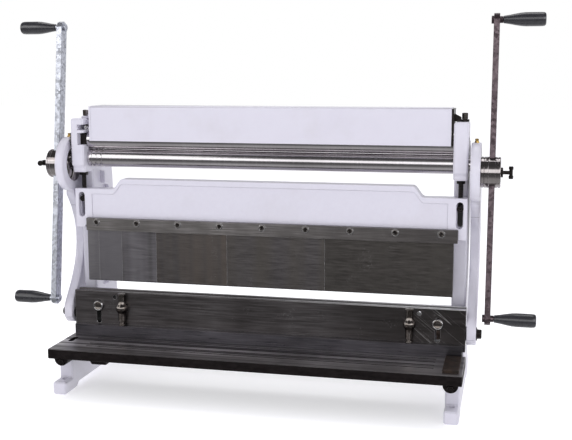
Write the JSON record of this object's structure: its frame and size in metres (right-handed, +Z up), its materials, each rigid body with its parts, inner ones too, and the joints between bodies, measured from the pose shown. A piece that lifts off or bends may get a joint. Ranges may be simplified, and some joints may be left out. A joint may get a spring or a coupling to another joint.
{
  "type": "combination sheet metal machine",
  "caption": "Bench sheet metal machine with slip rolls above, a finger press brake in the middle and a shear below, driven by a crank arm at each end.",
  "frame": {"origin": "on the floor plane, at the centre of the whole machine's width and depth", "axes": "+X to the operator's right along the rolls, +Y away from the operator, +Z up"},
  "size_m": [1.08, 0.36, 0.7564],
  "materials": {
    "white_enamel": "pale gloss enamel on cast iron",
    "ground_steel": "ground",
    "turned_steel": "fine turned and polished",
    "oiled_cast_iron": "machined and oiled",
    "black_oxide_steel": "black oxide",
    "galvanised_steel": "mottled zinc coat",
    "black_plastic": "moulded, slightly glossy",
    "bearing_bronze": "turned"
  },
  "bodies": {
    "frame": {"left_side_casting": "white_enamel", "right_side_casting": "white_enamel", "bed": "oiled_cast_iron", "lower_blade": "ground_steel", "side_gauge": "black_oxide_steel", "rear_tie_bar": "ground_steel", "left_bed_bolt": "black_oxide_steel", "right_bed_bolt": "black_oxide_steel", "left_beam_bolt": "black_oxide_steel", "right_beam_bolt": "black_oxide_steel", "left_guide_bolt": "turned_steel", "right_guide_bolt": "turned_steel", "roll_guard": "white_enamel", "left_guard_bracket": "black_oxide_steel", "right_guard_bracket": "black_oxide_steel", "left_roll_bush": "bearing_bronze", "right_roll_bush": "bearing_bronze"},
    "crank": {"lower_roll": "turned_steel", "lower_roll_gear": "ground_steel", "left_eccentric_hub": "turned_steel", "right_eccentric_hub": "turned_steel"},
    "upper_bearings": {"left_upper_block": "black_oxide_steel", "right_upper_block": "black_oxide_steel"},
    "upper_roll": {"upper_roll": "turned_steel", "upper_roll_gear": "ground_steel"},
    "rear_bearings": {"left_rear_block": "black_oxide_steel", "right_rear_block": "black_oxide_steel"},
    "rear_roll": {"rear_roll": "turned_steel"},
    "beam": {"upper_beam": "white_enamel", "clamp_bar": "ground_steel", "finger_1": "ground_steel", "finger_2": "ground_steel", "finger_3": "ground_steel", "finger_4": "ground_steel", "finger_5": "ground_steel", "finger_6": "ground_steel"},
    "apron": {"apron": "oiled_cast_iron", "upper_blade": "ground_steel", "left_hold_down_sleeve": "turned_steel", "right_hold_down_sleeve": "turned_steel"},
    "left_rod": {"left_connecting_rod": "white_enamel", "left_pivot_bolt": "black_oxide_steel"},
    "left_arm": {"left_crank_arm": "galvanised_steel"},
    "left_arm_screw": {"left_arm_screw": "black_oxide_steel"},
    "left_top_grip": {"left_top_grip": "black_plastic"},
    "left_bottom_grip": {"left_bottom_grip": "black_plastic"},
    "left_roll_screw": {"left_roll_screw": "turned_steel"},
    "left_rear_screw": {"left_rear_screw": "black_oxide_steel"},
    "left_jack_screw": {"left_jack_screw": "black_oxide_steel"},
    "left_hold_down": {"left_hold_down_pin": "ground_steel"},
    "right_rod": {"right_connecting_rod": "white_enamel", "right_pivot_bolt": "black_oxide_steel"},
    "right_arm": {"right_crank_arm": "galvanised_steel"},
    "right_arm_screw": {"right_arm_screw": "black_oxide_steel"},
    "right_top_grip": {"right_top_grip": "black_plastic"},
    "right_bottom_grip": {"right_bottom_grip": "black_plastic"},
    "right_roll_screw": {"right_roll_screw": "turned_steel"},
    "right_rear_screw": {"right_rear_screw": "black_oxide_steel"},
    "right_jack_screw": {"right_jack_screw": "black_oxide_steel"},
    "right_hold_down": {"right_hold_down_pin": "ground_steel"}
  },
  "joints": [
    {"name": "crank_turn", "type": "hinge", "parent": "frame", "child": "crank", "pos_m": [0, -0.02, 0.4685], "axis": [1, 0, 0], "continuous": true},
    {"name": "upper_roll_lift", "type": "slide", "parent": "frame", "child": "upper_bearings", "axis": [0, 0, 1], "range_m": [0, 0.003]},
    {"name": "upper_roll_turn", "type": "hinge", "parent": "upper_bearings", "child": "upper_roll", "pos_m": [0, -0.02, 0.5061], "axis": [1, 0, 0], "continuous": true},
    {"name": "rear_roll_lift", "type": "slide", "parent": "frame", "child": "rear_bearings", "axis": [0, 0, 1], "range_m": [-0.006, 0.02]},
    {"name": "rear_roll_turn", "type": "hinge", "parent": "rear_bearings", "child": "rear_roll", "pos_m": [0, 0.026, 0.47], "axis": [1, 0, 0], "continuous": true},
    {"name": "beam_lift", "type": "slide", "parent": "frame", "child": "beam", "axis": [0, 0, 1], "range_m": [-0.006, 0.012]},
    {"name": "apron_lift", "type": "slide", "parent": "frame", "child": "apron", "axis": [0, 0, 1], "range_m": [0, 0.027]},
    {"name": "left_rod_swing", "type": "hinge", "parent": "crank", "child": "left_rod", "pos_m": [-0.4225, -0.02, 0.455], "axis": [1, 0, 0], "continuous": true},
    {"name": "left_arm_slide", "type": "slide", "parent": "crank", "child": "left_arm", "axis": [0, 0.1271, 0.9919], "range_m": [-0.06, 0.06]},
    {"name": "left_arm_screw_turn", "type": "hinge", "parent": "crank", "child": "left_arm_screw", "pos_m": [-0.4651, -0.02, 0.455], "axis": [1, 0, 0], "continuous": true},
    {"name": "left_top_grip_turn", "type": "hinge", "parent": "left_arm", "child": "left_top_grip", "pos_m": [-0.461, 0.01628, 0.73819], "axis": [1, 0, 0], "continuous": true},
    {"name": "left_bottom_grip_turn", "type": "hinge", "parent": "left_arm", "child": "left_bottom_grip", "pos_m": [-0.461, -0.05628, 0.17181], "axis": [1, 0, 0], "continuous": true},
    {"name": "left_roll_screw_turn", "type": "hinge", "parent": "upper_bearings", "child": "left_roll_screw", "pos_m": [-0.3845, -0.02, 0.556], "axis": [0, 0, 1], "range_deg": [-10, 900]},
    {"name": "left_rear_screw_turn", "type": "hinge", "parent": "rear_bearings", "child": "left_rear_screw", "pos_m": [-0.391, 0.026, 0.523], "axis": [0, 0, 1], "range_deg": [-1800, 5800]},
    {"name": "left_jack_screw_turn", "type": "hinge", "parent": "frame", "child": "left_jack_screw", "pos_m": [-0.391, -0.023, 0.4395], "axis": [0, 0, 1], "range_deg": [-1500, 2900]},
    {"name": "left_hold_down_press", "type": "slide", "parent": "apron", "child": "left_hold_down", "axis": [0, 0, 1], "range_m": [0, 0.005], "stiffness_N_per_m": 1000, "springref_m": -0.002},
    {"name": "right_rod_swing", "type": "hinge", "parent": "crank", "child": "right_rod", "pos_m": [0.419, -0.02, 0.455], "axis": [1, 0, 0], "continuous": true},
    {"name": "right_arm_slide", "type": "slide", "parent": "crank", "child": "right_arm", "axis": [0, 0.1271, 0.9919], "range_m": [-0.06, 0.06]},
    {"name": "right_arm_screw_turn", "type": "hinge", "parent": "crank", "child": "right_arm_screw", "pos_m": [0.4651, -0.02, 0.455], "axis": [1, 0, 0], "continuous": true},
    {"name": "right_top_grip_turn", "type": "hinge", "parent": "right_arm", "child": "right_top_grip", "pos_m": [0.461, 0.01691, 0.74314], "axis": [1, 0, 0], "continuous": true},
    {"name": "right_bottom_grip_turn", "type": "hinge", "parent": "right_arm", "child": "right_bottom_grip", "pos_m": [0.461, -0.05564, 0.17677], "axis": [1, 0, 0], "continuous": true},
    {"name": "right_roll_screw_turn", "type": "hinge", "parent": "upper_bearings", "child": "right_roll_screw", "pos_m": [0.3955, -0.02, 0.556], "axis": [0, 0, 1], "range_deg": [-10, 900]},
    {"name": "right_rear_screw_turn", "type": "hinge", "parent": "rear_bearings", "child": "right_rear_screw", "pos_m": [0.391, 0.026, 0.523], "axis": [0, 0, 1], "range_deg": [-1800, 5800]},
    {"name": "right_jack_screw_turn", "type": "hinge", "parent": "frame", "child": "right_jack_screw", "pos_m": [0.391, -0.023, 0.4395], "axis": [0, 0, 1], "range_deg": [-1500, 2900]},
    {"name": "right_hold_down_press", "type": "slide", "parent": "apron", "child": "right_hold_down", "axis": [0, 0, 1], "range_m": [0, 0.005], "stiffness_N_per_m": 1000, "springref_m": -0.002}
  ],
  "couplings": [
    {"joint": "upper_roll_turn", "follows": "crank_turn", "ratio": -1},
    {"joint": "left_rod_swing", "follows": "crank_turn", "ratio": -1},
    {"joint": "left_roll_screw_turn", "follows": "upper_roll_lift", "rad_per_m": 5026.5},
    {"joint": "left_rear_screw_turn", "follows": "rear_roll_lift", "rad_per_m": 5026.5},
    {"joint": "left_jack_screw_turn", "follows": "beam_lift", "rad_per_m": 4188.8},
    {"joint": "right_rod_swing", "follows": "crank_turn", "ratio": -1},
    {"joint": "right_roll_screw_turn", "follows": "upper_roll_lift", "rad_per_m": 5026.5},
    {"joint": "right_rear_screw_turn", "follows": "rear_roll_lift", "rad_per_m": 5026.5},
    {"joint": "right_jack_screw_turn", "follows": "beam_lift", "rad_per_m": 4188.8}
  ]
}
